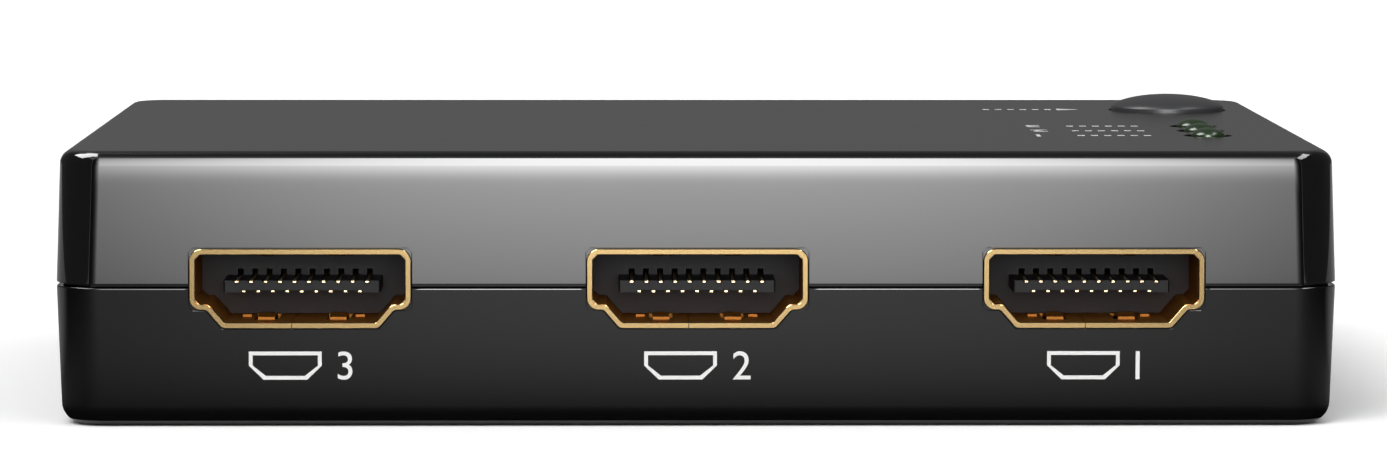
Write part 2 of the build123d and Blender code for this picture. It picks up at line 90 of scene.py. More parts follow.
class Value:
    """A number that varies over a surface. Sums on it add their nodes, so a finish reads as a formula."""

    def __init__(self, tree, socket):
        self.tree = tree
        self.socket = socket

    def node(self, kind, output, inputs, **settings):
        """A new node's output. Its settings are set first, and then its inputs, by name or number."""
        node = self.tree.nodes.new(kind)
        for name, setting in settings.items():
            setattr(node, name, setting)
        for name, value in inputs.items():
            if isinstance(value, Value):
                self.tree.links.new(value.socket, node.inputs[name])
            else:
                node.inputs[name].default_value = value
        return Value(self.tree, node.outputs[output])

    def math(self, operation, *others, last=False):
        """One math node on this value and the others, with this value after them where last is set."""
        values = (*others, self) if last else (self, *others)
        return self.node("ShaderNodeMath", 0, dict(enumerate(values)), operation=operation)

    def __add__(self, other):
        return self.math("ADD", other)

    def __radd__(self, other):
        return self.math("ADD", other, last=True)

    def __sub__(self, other):
        return self.math("SUBTRACT", other)

    def __rsub__(self, other):
        return self.math("SUBTRACT", other, last=True)

    def __mul__(self, other):
        return self.math("MULTIPLY", other)

    def __rmul__(self, other):
        return self.math("MULTIPLY", other, last=True)

    def __truediv__(self, other):
        return self.math("DIVIDE", other)

    def smooth(self, start, end):
        """0 at the start and 1 at the end, with a soft step between them."""
        inputs = {"Value": self, "From Min": start, "From Max": end}
        return self.node("ShaderNodeMapRange", "Result", inputs, interpolation_type="SMOOTHSTEP")


class Place:
    """The point on a piece, in metres in the part's frame: as one vector, and as its X, Y and Z."""

    def __init__(self, tree):
        split = tree.nodes.new("ShaderNodeSeparateXYZ")
        self.point = Value(tree, tree.nodes.new("ShaderNodeTexCoord").outputs["Object"])
        tree.links.new(self.point.socket, split.inputs[0])
        self.x, self.y, self.z = (Value(tree, output) for output in split.outputs)


def new_material(name):
    """An empty material, with its tree and its output node."""
    material = bpy.data.materials.new(name)
    material.use_nodes = True
    tree = material.node_tree
    tree.nodes.clear()
    return material, tree, tree.nodes.new("ShaderNodeOutputMaterial")


def finish_material(name, color, roughness, metallic=0.0, mixed=None, uneven=None, **constants):
    """A solid finish. Its colour or its roughness may follow a formula of the place on the piece.

    mixed is a second colour with the formula of its share, and uneven is a formula of the roughness.
    """
    material, tree, output = new_material(name)
    shader = tree.nodes.new("ShaderNodeBsdfPrincipled")
    constants = {"Base_Color": (*color, 1), "Roughness": roughness, "Metallic": metallic, **constants}
    for key, value in constants.items():
        shader.inputs[key.replace("_", " ")].default_value = value
    if uneven:
        tree.links.new(uneven(Place(tree)).socket, shader.inputs["Roughness"])
    if mixed:
        second, share_of = mixed
        share = share_of(Place(tree))
        mix = share.node("ShaderNodeMix", 2, {0: share, 6: (*color, 1), 7: (*second, 1)}, data_type="RGBA")
        tree.links.new(mix.socket, shader.inputs["Base Color"])
    tree.links.new(shader.outputs[0], output.inputs["Surface"])
    return material


def shade_smooth(work):
    """Shades all faces smooth, and keeps sharp the edges that turn by more than the crease angle."""
    for face in work.faces:
        face.smooth = True
    for edge in work.edges:
        edge.smooth = len(edge.link_faces) == 2 and edge.calc_face_angle(0.0) < crease_angle


def merged_copy(node):
    """A solid's surface with its doubled corners merged, its flat faces joined and its rounds smooth."""
    mesh = bpy.data.meshes.new(node + "_surface")
    work = bmesh.new()
    work.from_mesh(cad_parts[node].data)
    bmesh.ops.remove_doubles(work, verts=work.verts, dist=weld_distance)
    bmesh.ops.dissolve_limit(work, angle_limit=flat_angle, verts=work.verts, edges=work.edges)
    shade_smooth(work)
    work.to_mesh(mesh)
    work.free()
    return mesh


def new_piece(name, mesh, material, body, replaces=()):
    """Puts a finished mesh in the scene, on its body, with its material, and hides the solids it replaces.
    """
    piece = bpy.data.objects.new(name, mesh)
    bpy.context.scene.collection.objects.link(piece)
    piece.data.materials.clear()
    piece.data.materials.append(material)
    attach(piece, body)
    if replaces:
        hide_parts(*replaces)
    return piece


def outer_share(middle):
    """How much of the edge break a sharp edge gets, from its middle point.

    The lower half's outer edge at the parting gets all of it, the case's other outer edges get some,
    and the edges inside the case get none.
    """
    outside = max(abs(middle.x) - case_half_width, abs(middle.y) - case_half_depth)
    if max(outside, middle.z - case_top) < -skin_depth:
        return 0.0
    return 1.0 if abs(middle.z - parting) < weld_distance and outside > -edge_break else edge_share


def break_edges(shell):
    """Rounds a half shell's sharp outer edges, and keeps its flat faces flat.

    A long edge is cut into short lengths first, so that the shading of one end doesn't run along it.
    """
    work = bmesh.new()
    work.from_mesh(shell.data)
    share = work.edges.layers.float.new("bevel_weight_edge")
    for edge in work.edges:
        if not edge.smooth:
            edge[share] = outer_share((edge.verts[0].co + edge.verts[1].co) / 2)
    long_edges = [edge for edge in work.edges if edge[share] and edge.calc_length() > shortest_cut_edge]
    bmesh.ops.subdivide_edges(work, edges=long_edges, cuts=edge_cuts)
    work.to_mesh(shell.data)
    work.free()
    bevel = shell.modifiers.new("edge_rounding", "BEVEL")
    bevel.width = edge_break
    bevel.segments = render_levels
    bevel.limit_method = "WEIGHT"
    bevel.use_clamp_overlap = False
    even = shell.modifiers.new("flat_faces", "WEIGHTED_NORMAL")
    even.keep_sharp = True
    even.weight = flat_face_weight


def case_roughness(place):
    """The walls' gloss with a faint ripple, which turns to satin over the last of the height."""
    inputs = {"Vector": place.point, "Scale": gloss_ripple_scale, "Detail": gloss_ripple_detail}
    ripple = place.point.node("ShaderNodeTexNoise", "Fac", inputs)
    wall = gloss_roughness + gloss_ripple * (ripple - 0.5)
    return wall + (satin_roughness - gloss_roughness) * place.z.smooth(case_top - satin_blend, case_top)


case_gloss = finish_material(
    "case_gloss", gloss_black, gloss_roughness, uneven=case_roughness, IOR=plastic_ior
)
for half in ("upper_shell", "lower_shell"):
    break_edges(new_piece(half + "_skin", merged_copy(half), case_gloss, "case", [half]))


# The receptacles are folded from brass sheet and gold-plated. Each is a sleeve with a seam along its
# floor and sprung fingers cut out of its top and floor. Its mouth has a flat rolled rim that stands
# just out of the wall, in an opening with rounded corners.

sockets = ("input_1", "input_2", "input_3", "output")
mouth_height = 9.6 * MM
mouth_half_width = 7.5 * MM
mouth_half_height = 2.64 * MM
shoulder_drop = 1.37 * MM
shoulder_half_width = 6.41 * MM
floor_half_width = 5.31 * MM
mouth_rounds = [0.75 * MM, 0.7 * MM, 0.5 * MM, 0.4 * MM]
corner_steps = 8

rim_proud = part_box("output_shell")[1].y - case_half_depth
rim_outer_lap = 0.08 * MM
rim_inner_lap = 0.28 * MM
rim_back = 0.12 * MM
rim_bevel = 0.025 * MM
rim_sink = 0.05 * MM
seam_middle = -0.6 * MM
seam_half = 0.03 * MM

collar_gap = 0.115 * MM
collar_reach = 0.135 * MM
collar_depth = 1.5 * MM

gold_color = (0.56, 0.39, 0.175)
gold_roughness = 0.12
gold_edge_tint = (1.0, 0.42, 0.1, 1)
# Painted shade: the gold inside the mouth is painted darker and more orange, as shade in the deep recess and
# light reflected from its own walls.
mouth_painted_shade_color = (0.15, 0.062, 0.013)
deep_gold_roughness = 0.5
bright_depth = 0.35 * MM


def deep_share(place):
    """0 at the rim and 1 inside the mouth, where the gold's colour is a painted shade, as if seen only by
    its own reflected light, and the gold is duller.
    """
    full_depth = case_half_depth - 2 * bright_depth
    return place.y.math("ABSOLUTE").smooth(case_half_depth - bright_depth, full_depth)


def gold_wear(place):
    """The gold's roughness: polished at the rim, and duller inside the mouth, where plugs rub."""
    return gold_roughness + (deep_gold_roughness - gold_roughness) * deep_share(place)


def points_of(mesh):
    """A mesh's points, as rows of three numbers."""
    points = np.zeros(len(mesh.vertices) * 3)
    mesh.vertices.foreach_get("co", points)
    return points.reshape(-1, 3)


def move_points(mesh, points):
    """Puts a mesh's points at new places."""
    mesh.vertices.foreach_set("co", points.ravel())
    mesh.update()


def smooth_faces(mesh):
    """Turns a closed mesh's faces outward and shades its rounds smooth."""
    work = bmesh.new()
    work.from_mesh(mesh)
    bmesh.ops.recalc_face_normals(work, faces=work.faces)
    shade_smooth(work)
    work.to_mesh(mesh)
    work.free()
    return mesh


def closed_mesh(name, points, faces):
    """A closed mesh from its points and faces, with its faces outward and its rounds smooth."""
    mesh = bpy.data.meshes.new(name)
    mesh.from_pydata(points.tolist(), [], faces)
    return smooth_faces(mesh)


def mouth_outline(grown, rounds):
    """The mouth's outline, grown by a length, as points (x, z) round its rounded corners.

    The normal n turns from one side's to the next about the corner P, and m is the sum of those two
    normals divided by 1 + their product. A point is P + s r (n - m) + grown n, for the radius r and
    the sign s of the corner.
    """
    half = [
        (mouth_half_width, mouth_half_height),
        (mouth_half_width, -shoulder_drop),
        (shoulder_half_width, -shoulder_drop),
        (floor_half_width, -mouth_half_height),
    ]
    corners = np.array(half + [(-x, z) for x, z in half[::-1]])
    runs = np.roll(corners, -1, axis=0) - corners
    normals = np.column_stack([-runs[:, 1], runs[:, 0]]) / np.hypot(*runs.T)[:, None]
    normals_before = np.roll(normals, 1, axis=0)
    points = []
    for corner, before, after, radius in zip(corners, normals_before, normals, rounds + rounds[::-1]):
        middle = (before + after) / (1 + before @ after)
        turn = math.atan2(before[0] * after[1] - before[1] * after[0], before @ after)
        angle = np.linspace(0, turn, corner_steps)[:, None]
        normal = np.cos(angle) * before + np.sin(angle) * np.array([-before[1], before[0]])
        points.append(corner - math.copysign(radius, turn) * (normal - middle) + grown * normal)
    return np.vstack(points)


def band_mesh(name, centre_x, facing, rings, closed=True):
    """A band through rings of (outline, distance out from the wall), set round a mouth of one wall.

    Each face joins two neighbouring points of one ring to those of the next, and the last ring joins
    the first. A band that isn't closed along the outline has a face at each of its two ends.
    """
    stacked = []
    for outline, out in rings:
        x = centre_x - facing * outline[:, 0]
        y = facing * (case_half_depth + out * np.ones(len(outline)))
        stacked.append(np.column_stack([x, y, mouth_height + outline[:, 1]]))
    count = len(stacked[0])
    around = np.arange(count if closed else count - 1)
    onward = (around + 1) % count
    faces = []
    for ring in range(len(rings)):
        a = ring * count
        b = (ring + 1) % len(rings) * count
        faces += np.column_stack([a + around, b + around, b + onward, a + onward]).tolist()
    if not closed:
        start = np.arange(len(rings)) * count
        faces += [start[::-1].tolist(), (start + count - 1).tolist()]
    return closed_mesh(name, np.vstack(stacked), faces)


def rim_mesh(name, centre_x, facing):
    """The mouth's rolled rim: a flat band with broken edges, open at the seam in the floor."""
    profile = [
        (rim_outer_lap, rim_proud - rim_back),
        (rim_outer_lap, rim_proud - rim_bevel),
        (rim_outer_lap - rim_bevel, rim_proud),
        (rim_bevel - rim_inner_lap, rim_proud),
        (-rim_inner_lap, rim_proud - rim_bevel),
        (-rim_inner_lap, rim_proud - rim_back),
    ]
    rings = []
    for grown, out in profile:
        from_floor = np.roll(mouth_outline(grown, mouth_rounds), -4 * corner_steps, axis=0)
        floor = -mouth_half_height - grown
        start, end = (seam_middle - seam_half, floor), (seam_middle + seam_half, floor)
        rings.append((np.vstack([start, from_floor, end]), out))
    return band_mesh(name, centre_x, facing, rings, closed=False)


def collar_mesh(name, centre_x, facing):
    """The rounded corners of the case's opening, flush with the drafted wall round the mouth.

    The wall leans back by its distance from the parting times the tangent of the draft.
    """
    inner = mouth_outline(collar_gap, mouth_rounds)
    outer = mouth_outline(collar_reach, [collar_gap] * len(mouth_rounds))
    rings = []
    for outline, back in ((inner, 0.0), (outer, 0.0), (outer, collar_depth), (inner, collar_depth)):
        lean = np.abs(mouth_height + outline[:, 1] - parting) * math.tan(case_draft)
        rings.append((outline, -lean - back))
    return band_mesh(name, centre_x, facing, rings)


gold_plate = finish_material(
    "gold_plate",
    gold_color,
    gold_roughness,
    metallic=1.0,
    # inside the mouth the gold's colour turns to the painted shade colour
    mixed=(mouth_painted_shade_color, deep_share),
    uneven=gold_wear,
    Specular_Tint=gold_edge_tint,
)
for socket in sockets:
    name = socket + "_shell"
    low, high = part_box(name)
    facing = math.copysign(1.0, low.y + high.y)
    middle_x = (low.x + high.x) / 2
    sleeve = merged_copy(name)
    points = points_of(sleeve)
    points[np.abs(points[:, 1]) > case_half_depth, 1] = facing * (case_half_depth + rim_proud - rim_sink)
    move_points(sleeve, points)
    new_piece(socket + "_sleeve", sleeve, gold_plate, "case", [name])
    new_piece(socket + "_rim", rim_mesh(socket + "_rim", middle_x, facing), gold_plate, "case")
    collar = collar_mesh(socket + "_collar", middle_x, facing)
    new_piece(socket + "_collar", collar, case_gloss, "case")


# Inside each receptacle a moulded black insulator carries the tongue. Gilt bronze contacts lie in
# it, ten in grooves on top and nine underneath, and their fronts show as two rows of bright dots.

insulator_color = (0.012, 0.012, 0.013)
insulator_roughness = 0.42
insulator_shine = 0.1
contact_color = (0.93, 0.72, 0.42)
contact_roughness = 0.22
contact_step = 0.5 * MM
blade_share = 0.7
blade_run = 4.0 * MM


def dress(node, material):
    """Gives a solid its material, as it stands."""
    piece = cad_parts[node]
    piece.data.materials.clear()
    piece.data.materials.append(material)


def slimmed_contacts(node):
    """The contacts' surface with each blade narrowed, and its front thinned, about its own middle.

    The blades stand at whole contact steps from the middle of the receptacle, and those of one row
    are at the even steps or at the odd ones.
    """
    mesh = merged_copy(node)
    points = points_of(mesh)
    low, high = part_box(node)
    middle = (low.x + high.x) / 2
    step = np.round((points[:, 0] - middle) / contact_step)
    blade = middle + step * contact_step
    points[:, 0] = blade + (points[:, 0] - blade) * blade_share
    tip = max(abs(low.y), abs(high.y))
    for row in (0, 1):
        front = (step % 2 == row) & (np.abs(points[:, 1]) > tip - blade_run)
        level = (points[front, 2].min() + points[front, 2].max()) / 2
        points[front, 2] = level + (points[front, 2] - level) * blade_share
    move_points(mesh, points)
    return mesh


insulator_black = finish_material(
    "insulator_black", insulator_color, insulator_roughness, Specular_IOR_Level=insulator_shine
)
contact_gold = finish_material("contact_gold", contact_color, contact_roughness, metallic=1.0)
for socket in sockets:
    dress(socket + "_housing", insulator_black)
    name = socket + "_contacts"
    new_piece(socket + "_blades", slimmed_contacts(name), contact_gold, "case", [name])


# The select button is a cap of dark grey plastic with a shallow domed top. Under the case's top it
# widens to a square plate that holds it in, and a stem goes down to the switch on the board.

button_color = (0.045, 0.045, 0.048)
button_roughness = 0.34
button_shine = 0.24
button_radius = 4.3 * MM
button_crown = 1.0 * MM
button_rings = 24
button_plate_drop = 1.95 * MM
button_plate_thickness = 0.85 * MM
button_plate_half = 4.8 * MM
button_stem_half = 1.6 * MM
dome_start = 0.02
dome_power = 1.18
turn_steps = 96
button_low, button_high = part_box("select_button")
button_centre = (button_low + button_high) / 2
button_plate_top = case_top - button_plate_drop
button_plate_bottom = button_plate_top - button_plate_thickness


def dome_profile(radius, rim, crown, rings, foot):
    """A domed top's profile, from near its middle down to the rim and on to the foot below it.

    At the angle t from the upright the point is (radius sin t, rim + crown cos(t) ^ dome_power),
    a quarter ellipse that is a little pointed towards its rim.
    """
    turn = np.linspace(dome_start, 1.0, rings) * math.pi / 2
    rise = np.clip(np.cos(turn), 0, 1) ** dome_power
    return np.vstack([np.column_stack([radius * np.sin(turn), rim + crown * rise]), [radius, foot]])


def turned_mesh(name, profile, centre):
    """A profile of (radius, height) points turned about the upright through a centre.

    Each ring has the points (x + r cos t, y + r sin t, h) for equal steps of the angle t, four-sided
    faces join neighbouring rings, and fans about a middle point close the two ends.
    """
    angle = np.linspace(0, 2 * math.pi, turn_steps, endpoint=False)
    radii, heights = profile[:, :1], profile[:, 1:]
    x, y = centre.x + radii * np.cos(angle), centre.y + radii * np.sin(angle)
    rings = np.dstack(np.broadcast_arrays(x, y, heights)).reshape(-1, 3)
    ends = [(centre.x, centre.y, profile[0, 1]), (centre.x, centre.y, profile[-1, 1])]
    top, bottom = len(rings), len(rings) + 1
    around = np.arange(turn_steps)
    onward = (around + 1) % turn_steps
    upper = np.arange(len(profile) - 1)[:, None] * turn_steps
    lower = upper + turn_steps
    sides = np.dstack([upper + around, lower + around, lower + onward, upper + onward]).reshape(-1, 4)
    last = (len(profile) - 1) * turn_steps
    upper_fan = np.column_stack([np.full(turn_steps, top), around, onward])
    lower_fan = np.column_stack([np.full(turn_steps, bottom), last + onward, last + around])
    faces = [*sides.tolist(), *upper_fan.tolist(), *lower_fan.tolist()]
    return closed_mesh(name, np.vstack([rings, ends]), faces)


def add_box(mesh, low, high):
    """Adds a closed box between two corners to a mesh."""
    work = bmesh.new()
    work.from_mesh(mesh)
    made = bmesh.ops.create_cube(work, size=1.0)
    bmesh.ops.scale(work, vec=Vector(high) - Vector(low), verts=made["verts"])
    bmesh.ops.translate(work, vec=(Vector(low) + Vector(high)) / 2, verts=made["verts"])
    work.to_mesh(mesh)
    work.free()


button_grey = finish_material("button_grey", button_color, button_roughness, Specular_IOR_Level=button_shine)
button_rim = button_high.z - button_crown
cap_profile = dome_profile(button_radius, button_rim, button_crown, button_rings, button_plate_top)
cap = turned_mesh("button_cap", cap_profile, button_centre)
blocks = [
    (button_plate_half, button_plate_bottom, button_plate_top),
    (button_stem_half, button_low.z, button_plate_bottom),
]
x, y = button_centre.x, button_centre.y
for half, bottom, top in blocks:
    add_box(cap, (x - half, y - half, bottom), (x + half, y + half, top))
new_piece("button_cap", smooth_faces(cap), button_grey, "button", ["select_button"])


# Three lamps show which input is on. Each is moulded in clear green epoxy, a barrel with a round
# nose that stands half a millimetre out of its hole.

lamp_color = (0.014, 0.036, 0.009)
lamp_roughness = 0.24
lamp_shine = 0.45
lamp_rings = 14

lamp_green = finish_material("lamp_green", lamp_color, lamp_roughness, Specular_IOR_Level=lamp_shine)
for number in (1, 2, 3):
    name = "lamp_" + str(number)
    low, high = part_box(name)
    profile = dome_profile((high.x - low.x) / 2, case_top, high.z - case_top, lamp_rings, low.z)
    lens = turned_mesh(name + "_lens", profile, (low + high) / 2)
    new_piece(name + "_lens", lens, lamp_green, "case", [name])


# What the case holds inside is plain: the board in green solder mask, dark epoxy parts on it, tinned
# leads, and the black screws that come in from underneath.

tinned_leads = ["switch_terminals", "lamp_leads", "chip_leads", "regulator_leads"]
inside_finishes = {
    "board_green": ((0.02, 0.16, 0.06), 0.45, 0.0, ["circuit_board"]),
    "chip_epoxy": ((0.03, 0.03, 0.03), 0.6, 0.0, ["switch_chip", "regulator", "resistors"]),
    "capacitor_body": ((0.5, 0.4, 0.28), 0.5, 0.0, ["capacitors"]),
    "plunger_black": ((0.025, 0.025, 0.025), 0.4, 0.0, ["switch_plunger"]),
    "screw_steel": ((0.1, 0.1, 0.105), 0.35, 1.0, ["case_screws"]),
    "nickel_plate": ((0.75, 0.74, 0.7), 0.3, 1.0, ["power_jack_pin", "power_jack_spring", *tinned_leads]),
}
for slot, (color, roughness, metallic, nodes) in inside_finishes.items():
    finish = finish_material(slot, color, roughness, metallic=metallic)
    for node in nodes:
        dress(node, finish)
for node in ("power_jack_body", "switch_base"):
    dress(node, insulator_black)


# The switch under the button has a cover of bare sheet steel, and a bowed strip of the same as its
# snap spring.

spring_color = (0.68, 0.69, 0.7)
spring_roughness = 0.3

spring_steel = finish_material("spring_steel", spring_color, spring_roughness, metallic=1.0)
dress("switch_cover", spring_steel)
low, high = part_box("switch_dome")
strip = merged_copy("switch_dome")
snap_spring = new_piece("snap_spring", strip, spring_steel, "case", ["switch_dome"])
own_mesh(snap_spring)


# White marks are printed in ink on the front wall, one under each input: a small outline of the
# receptacle, and the input's numeral after it.

ink_color = (0.8, 0.8, 0.79)
ink_roughness = 0.5
ink_thickness = 0.012 * MM
mark_height = 1.95 * MM
mark_middle_z = 4.28 * MM
icon_stroke = 0.26 * MM
icon_width = 5.0 * MM
icon_gap = 1.1 * MM
icon_shoulder = 0.5
icon_foot = 0.2


def numeral_mesh(text):
    """A numeral as a flat mesh of the mark's height, its left foot at the origin, and its width."""
    curve = bpy.data.curves.new("numeral", "FONT")
    curve.body = text
    curve.extrude = ink_thickness / 2
    holder = bpy.data.objects.new("numeral", curve)
    bpy.context.scene.collection.objects.link(holder)
    bpy.context.view_layer.update()
    mesh = bpy.data.meshes.new_from_object(holder.evaluated_get(bpy.context.evaluated_depsgraph_get()))
    bpy.data.objects.remove(holder)
    points = points_of(mesh)
    low, high = points.min(0), points.max(0)
    scale = mark_height / (high[1] - low[1])
    points[:, :2] = (points[:, :2] - low[:2]) * scale
    move_points(mesh, points)
    return mesh, (high[0] - low[0]) * scale


def icon_mesh():
    """The receptacle's outline as a flat ring: a wide top, slanted shoulders and a narrower foot.

    The inner outline is the outer one drawn in towards its middle, so far that two strokes are lost
    from its width and from its height.
    """
    left_foot, right_foot = (icon_foot, 0), (1 - icon_foot, 0)
    shares = np.array([(0, 1), (1, 1), (1, icon_shoulder), right_foot, left_foot, (0, icon_shoulder)])
    size = np.array([icon_width, mark_height])
    outer = shares * size
    middle = outer.mean(0)
    inner = middle + (outer - middle) * (size - 2 * icon_stroke) / size
    count = len(outer)
    flat = np.vstack([outer, inner])
    depths = (-ink_thickness / 2, ink_thickness / 2)
    points = np.vstack([np.column_stack([flat, np.full(len(flat), z)]) for z in depths])
    a = np.arange(count)
    b = (a + 1) % count
    outer_back, inner_back, outer_front, inner_front = np.arange(4) * count
    loop = (outer_front, inner_front, inner_back, outer_back, outer_front)
    faces = [np.column_stack([near + a, near + b, far + b, far + a]) for near, far in zip(loop, loop[1:])]
    mesh = bpy.data.meshes.new("icon")
    mesh.from_pydata(points.tolist(), [], np.vstack(faces).tolist())
    return mesh


def joined_mesh(name, parts, place):
    """Flat parts in one mesh, laid on the case by a matrix."""
    work = bmesh.new()
    for part in parts:
        work.from_mesh(part)
    bmesh.ops.recalc_face_normals(work, faces=work.faces)
    mesh = bpy.data.meshes.new(name)
    work.to_mesh(mesh)
    work.free()
    mesh.transform(place)
    return mesh


def input_mark(text):
    """An outline of the receptacle with a numeral after it, centred on the origin."""
    numeral, numeral_width = numeral_mesh(text)
    icon = icon_mesh()
    half = (icon_width + icon_gap + numeral_width) / 2
    icon.transform(Matrix.Translation((-half, -mark_height / 2, 0)))
    numeral.transform(Matrix.Translation((half - numeral_width, -mark_height / 2, 0)))
    return [icon, numeral]


white_ink = finish_material("white_ink", ink_color, ink_roughness)
mark_lean = (parting - mark_middle_z) * math.tan(case_draft)
mark_y = -case_half_depth + mark_lean - ink_thickness / 2
upright = Matrix.Rotation(math.pi / 2 + case_draft, 4, "X")
for number in (1, 2, 3):
    low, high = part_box("input_" + str(number) + "_shell")
    place = Matrix.Translation(((low.x + high.x) / 2, mark_y, mark_middle_z)) @ upright
    name = "input_mark_" + str(number)
    new_piece(name, joined_mesh(name, input_mark(str(number)), place), white_ink, "case")


# The same ink marks the top: a dashed line from each lamp to its numeral, turned to be read from
# behind, and a dashed arrow that points at the button.

dash_count = 6
dash_pitch = 0.95 * MM
dash_length = 0.5 * MM
dash_stroke = 0.5 * MM
lamp_mark_start = 32.7 * MM
lamp_mark_length = 8.2 * MM
arrow_start = 22.6 * MM
arrow_head = 1.6 * MM


def dash_row():
    """Short flat bars in a row, which starts at the origin and runs along +X."""
    row = bpy.data.meshes.new("dashes")
    for start in (np.arange(dash_count) * dash_pitch).tolist():
        low = (start, -dash_stroke / 2, -ink_thickness / 2)
        high = (start + dash_length, dash_stroke / 2, ink_thickness / 2)
        add_box(row, low, high)
    return row


def lamp_mark(text):
    """A row of dashes with a numeral at its end."""
    numeral, numeral_width = numeral_mesh(text)
    numeral.transform(Matrix.Translation((lamp_mark_length - numeral_width, -mark_height / 2, 0)))
    return [numeral, dash_row()]


def arrow_mark():
    """A row of dashes that ends in a three-sided arrow head."""
    foot = dash_count * dash_pitch
    outline = [(foot, -arrow_head / 2), (foot + arrow_head, 0.0), (foot, arrow_head / 2)]
    points = [(x, y, z) for z in (-ink_thickness / 2, ink_thickness / 2) for x, y in outline]
    faces = [(2, 1, 0), (3, 4, 5), (0, 1, 4, 3), (1, 2, 5, 4), (2, 0, 3, 5)]
    head = bpy.data.meshes.new("arrow_head")
    head.from_pydata(points, [], faces)
    return [head, dash_row()]


mark_z = case_top + ink_thickness / 2
half_turn = Matrix.Rotation(math.pi, 4, "Z")
for number in (1, 2, 3):
    low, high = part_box("lamp_" + str(number))
    place = Matrix.Translation((lamp_mark_start, (low.y + high.y) / 2, mark_z)) @ half_turn
    name = "lamp_mark_" + str(number)
    new_piece(name, joined_mesh(name, lamp_mark(str(number)), place), white_ink, "case")
place = Matrix.Translation((arrow_start, button_centre.y, mark_z))
new_piece("button_arrow", joined_mesh("button_arrow", arrow_mark(), place), white_ink, "case")


# The box stands on a wide sheet of white paper. The camera and mirror reflections see it as pure
# white, and it throws its own plain white back on the box.

floor_color = 0.9
floor_bright = 1.25
floor_reach = 6.0


def level_corners(left, right, front, rear, height):
    """The corners of a level panel."""
    return [(left, front, height), (right, front, height), (right, rear, height), (left, rear, height)]


def stage_panel(name, corners, material):
    """A four-sided panel of the stage through its corners."""
    mesh = bpy.data.meshes.new(name)
    mesh.from_pydata(corners, [], [(0, 1, 2, 3)])
    panel = bpy.data.objects.new(name, mesh)
    bpy.context.scene.collection.objects.link(panel)
    mesh.materials.append(material)
    return panel


def any_direct_ray(tree):
    """1 for camera, mirror and see-through rays, and 0 for the light that falls on things."""
    outputs = tree.nodes.new("ShaderNodeLightPath").outputs
    kinds = ("Is Camera Ray", "Is Glossy Ray", "Is Transmission Ray")
    camera_ray, glossy_ray, through_ray = (Value(tree, outputs[kind]) for kind in kinds)
    return camera_ray.math("MAXIMUM", glossy_ray.math("MAXIMUM", through_ray))


floor_white, tree, output = new_material("floor_white")
paper = tree.nodes.new("ShaderNodeBsdfDiffuse")
shade = floor_color + (floor_bright - floor_color) * any_direct_ray(tree)
tree.links.new(shade.socket, paper.inputs["Color"])
tree.links.new(paper.outputs[0], output.inputs["Surface"])
stage_panel("floor", level_corners(-floor_reach, floor_reach, -floor_reach, floor_reach, 0), floor_white)


# Panels that only mirror reflections see stand for the studio round the gloss. The front one has a
# bright strip above a dimmer foot and fades to both sides, as a long soft box in front of a table.

stage_half_width = 0.6
stage_rear = 0.6
stage_top = 0.5

front_y = -0.33
front_half_width = 0.2
front_width = 0.084
front_power = 2.74
front_shift = 0.004
front_foot = 4.4
front_rise = 2.8
front_bright = 13.0
strip_low = 0.0143
strip_high = 0.0175

# The floor panel that the gloss mirrors carries a painted contact shadow at the case's foot.
shade_height = 0.0004
shade_depth = 0.025
shade_width = 0.055
shade_power = 2.5
side_floor = 0.5

side_x = 0.3
side_front = -0.5
side_strength = 0.08
back_y = 0.5
back_strength = 0.2
ceiling_near = 1.5
ceiling_far = 0.2
ceiling_turn = -0.1

left_glow_strength = 14.0
left_glow_outer = (-0.29, 0.3)
left_glow_inner = (-0.11, 0.44)
left_glow_front = -0.1
left_glow_rear = 0.14
right_glow_strength = 9.0
right_glow_left = 0.19
right_glow_right = 0.29
right_glow_front = -0.3
right_glow_rear = 0.12
right_glow_height = 0.45


def upright_corners(start, end):
    """The corners of a panel as high as the stage, over the line between two places on the floor."""
    return [(*start, 0), (*end, 0), (*end, stage_top), (*start, stage_top)]


def reflection_panel(name, corners, strength):
    """A glowing panel that only mirror reflections see, of one strength or by a formula of the place."""
    material, tree, output = new_material(name + "_glow")
    shader = tree.nodes.new("ShaderNodeEmission")
    if callable(strength):
        tree.links.new(strength(Place(tree)).socket, shader.inputs["Strength"])
    else:
        shader.inputs["Strength"].default_value = strength
    tree.links.new(shader.outputs[0], output.inputs["Surface"])
    panel = stage_panel(name, corners, material)
    panel.visible_camera = False
    panel.visible_diffuse = False
    panel.visible_transmission = False
    panel.visible_shadow = False


def fall_off(distance, width, power):
    """exp(-(|distance| / width) ^ power): 1 in the middle, and dark beyond the width."""
    share = distance.math("ABSOLUTE") / width
    return (-1.0 * share.math("POWER", power)).math("EXPONENT")


def front_strength(place):
    """The front panel: dim at its foot, bright above the strip's edge, fading to both sides."""
    foot = front_foot + front_rise * place.z / strip_low
    rise = foot + front_bright * place.z.smooth(strip_low, strip_high)
    full = front_foot + front_rise + front_bright
    return rise.math("MINIMUM", full) * fall_off(place.x - front_shift, front_width, front_power)


def floor_strength(place):
    """The floor as the gloss mirrors it: dark at the case's foot, as a painted contact shadow, and dark
    beyond both ends in front.

    The painted shadow at the foot is 1 - exp(-distance from the case / depth of the shade).
    """
    across = place.x.math("ABSOLUTE") - case_half_width
    along = place.y.math("ABSOLUTE") - case_half_depth
    distance = across.math("MAXIMUM", along).math("MAXIMUM", 0.0)
    near = 1.0 - (distance / -shade_depth).math("EXPONENT")
    side = fall_off(place.x - front_shift, shade_width, shade_power)
    return near * side.math("MAXIMUM", side_floor * place.y.smooth(-case_half_depth, 0.0))


def ceiling_strength(place):
    """The ceiling: pale over the front panel, dark over the case and behind it."""
    return ceiling_near + (ceiling_far - ceiling_near) * place.y.smooth(front_y, ceiling_turn)


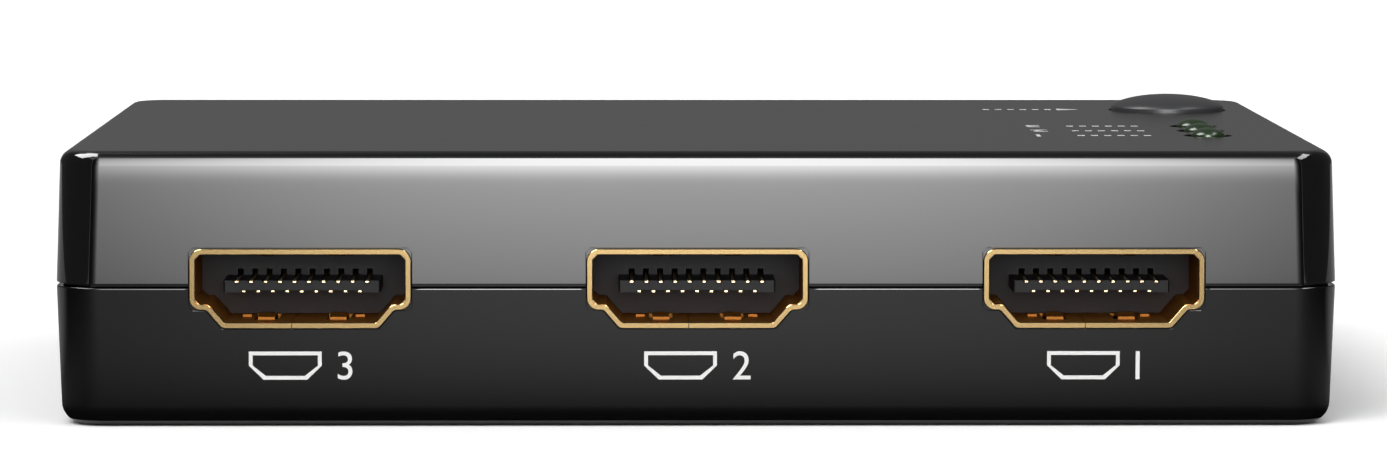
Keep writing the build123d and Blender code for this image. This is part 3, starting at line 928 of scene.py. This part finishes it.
front_ends = (-front_half_width, front_y), (front_half_width, front_y)
reflection_panel("front_panel", upright_corners(*front_ends), front_strength)
# The floor_shade panel paints the case's contact shadow into what the gloss mirrors.
floor_corners = level_corners(-stage_half_width, stage_half_width, front_y, stage_rear, shade_height)
reflection_panel("floor_shade", floor_corners, floor_strength)
for name, x in (("left_panel", -side_x), ("right_panel", side_x)):
    reflection_panel(name, upright_corners((x, side_front), (x, stage_rear)), side_strength)
back_ends = (-stage_half_width, back_y), (stage_half_width, back_y)
reflection_panel("back_panel", upright_corners(*back_ends), back_strength)
ceiling_corners = level_corners(-stage_half_width, stage_half_width, front_y, stage_rear, stage_top)
reflection_panel("ceiling_panel", ceiling_corners, ceiling_strength)

outer_x, outer_z = left_glow_outer
inner_x, inner_z = left_glow_inner
left_corners = [
    (outer_x, left_glow_front, outer_z),
    (inner_x, left_glow_front, inner_z),
    (inner_x, left_glow_rear, inner_z),
    (outer_x, left_glow_rear, outer_z),
]
reflection_panel("top_left_panel", left_corners, left_glow_strength)
right_corners = level_corners(
    right_glow_left, right_glow_right, right_glow_front, right_glow_rear, right_glow_height
)
reflection_panel("top_right_panel", right_corners, right_glow_strength)


# Two soft suns and an even sky light the box at a plain level. The suns don't show in reflections,
# and the sky is white to the camera and to mirrors.

suns = {
    "key_sun": ((0.45, 0.7, -1.0), 1.5, math.radians(35)),
    "fill_sun": ((-0.6, 0.5, -0.9), 0.5, math.radians(60)),
}
sky_fill = 0.52

for name, (direction, strength, softness) in suns.items():
    light = bpy.data.lights.new(name, "SUN")
    light.energy = strength
    light.angle = softness
    holder = bpy.data.objects.new(name, light)
    bpy.context.scene.collection.objects.link(holder)
    holder.rotation_mode = "QUATERNION"
    holder.rotation_quaternion = Vector(direction).to_track_quat("-Z", "Y")
    holder.visible_glossy = False

world = bpy.data.worlds.new("studio")
bpy.context.scene.world = world
world.use_nodes = True
tree = world.node_tree
tree.nodes.clear()
sky = tree.nodes.new("ShaderNodeBackground")
strength = sky_fill + (1.0 - sky_fill) * any_direct_ray(tree)
tree.links.new(strength.socket, sky.inputs["Strength"])
tree.links.new(sky.outputs[0], tree.nodes.new("ShaderNodeOutputWorld").inputs["Surface"])


# The camera stands low in front of the inputs and looks slightly down, as the photograph was taken.

camera_place = (-5.75 * MM, -410.0 * MM, 45.7 * MM)
camera_pitch = math.radians(4.864)
camera_yaw = math.radians(0.82)
camera_roll = math.radians(-0.057)
camera_lens = 144.36
camera_near = 10.0 * MM

camera = bpy.data.objects.new("camera", bpy.data.cameras.new("camera"))
bpy.context.scene.collection.objects.link(camera)
camera.data.lens = camera_lens
camera.data.clip_start = camera_near
camera.location = camera_place
camera.rotation_euler = (math.pi / 2 - camera_pitch, camera_roll, -camera_yaw)
bpy.context.scene.camera = camera
bpy.context.scene.view_settings.view_transform = "Standard"
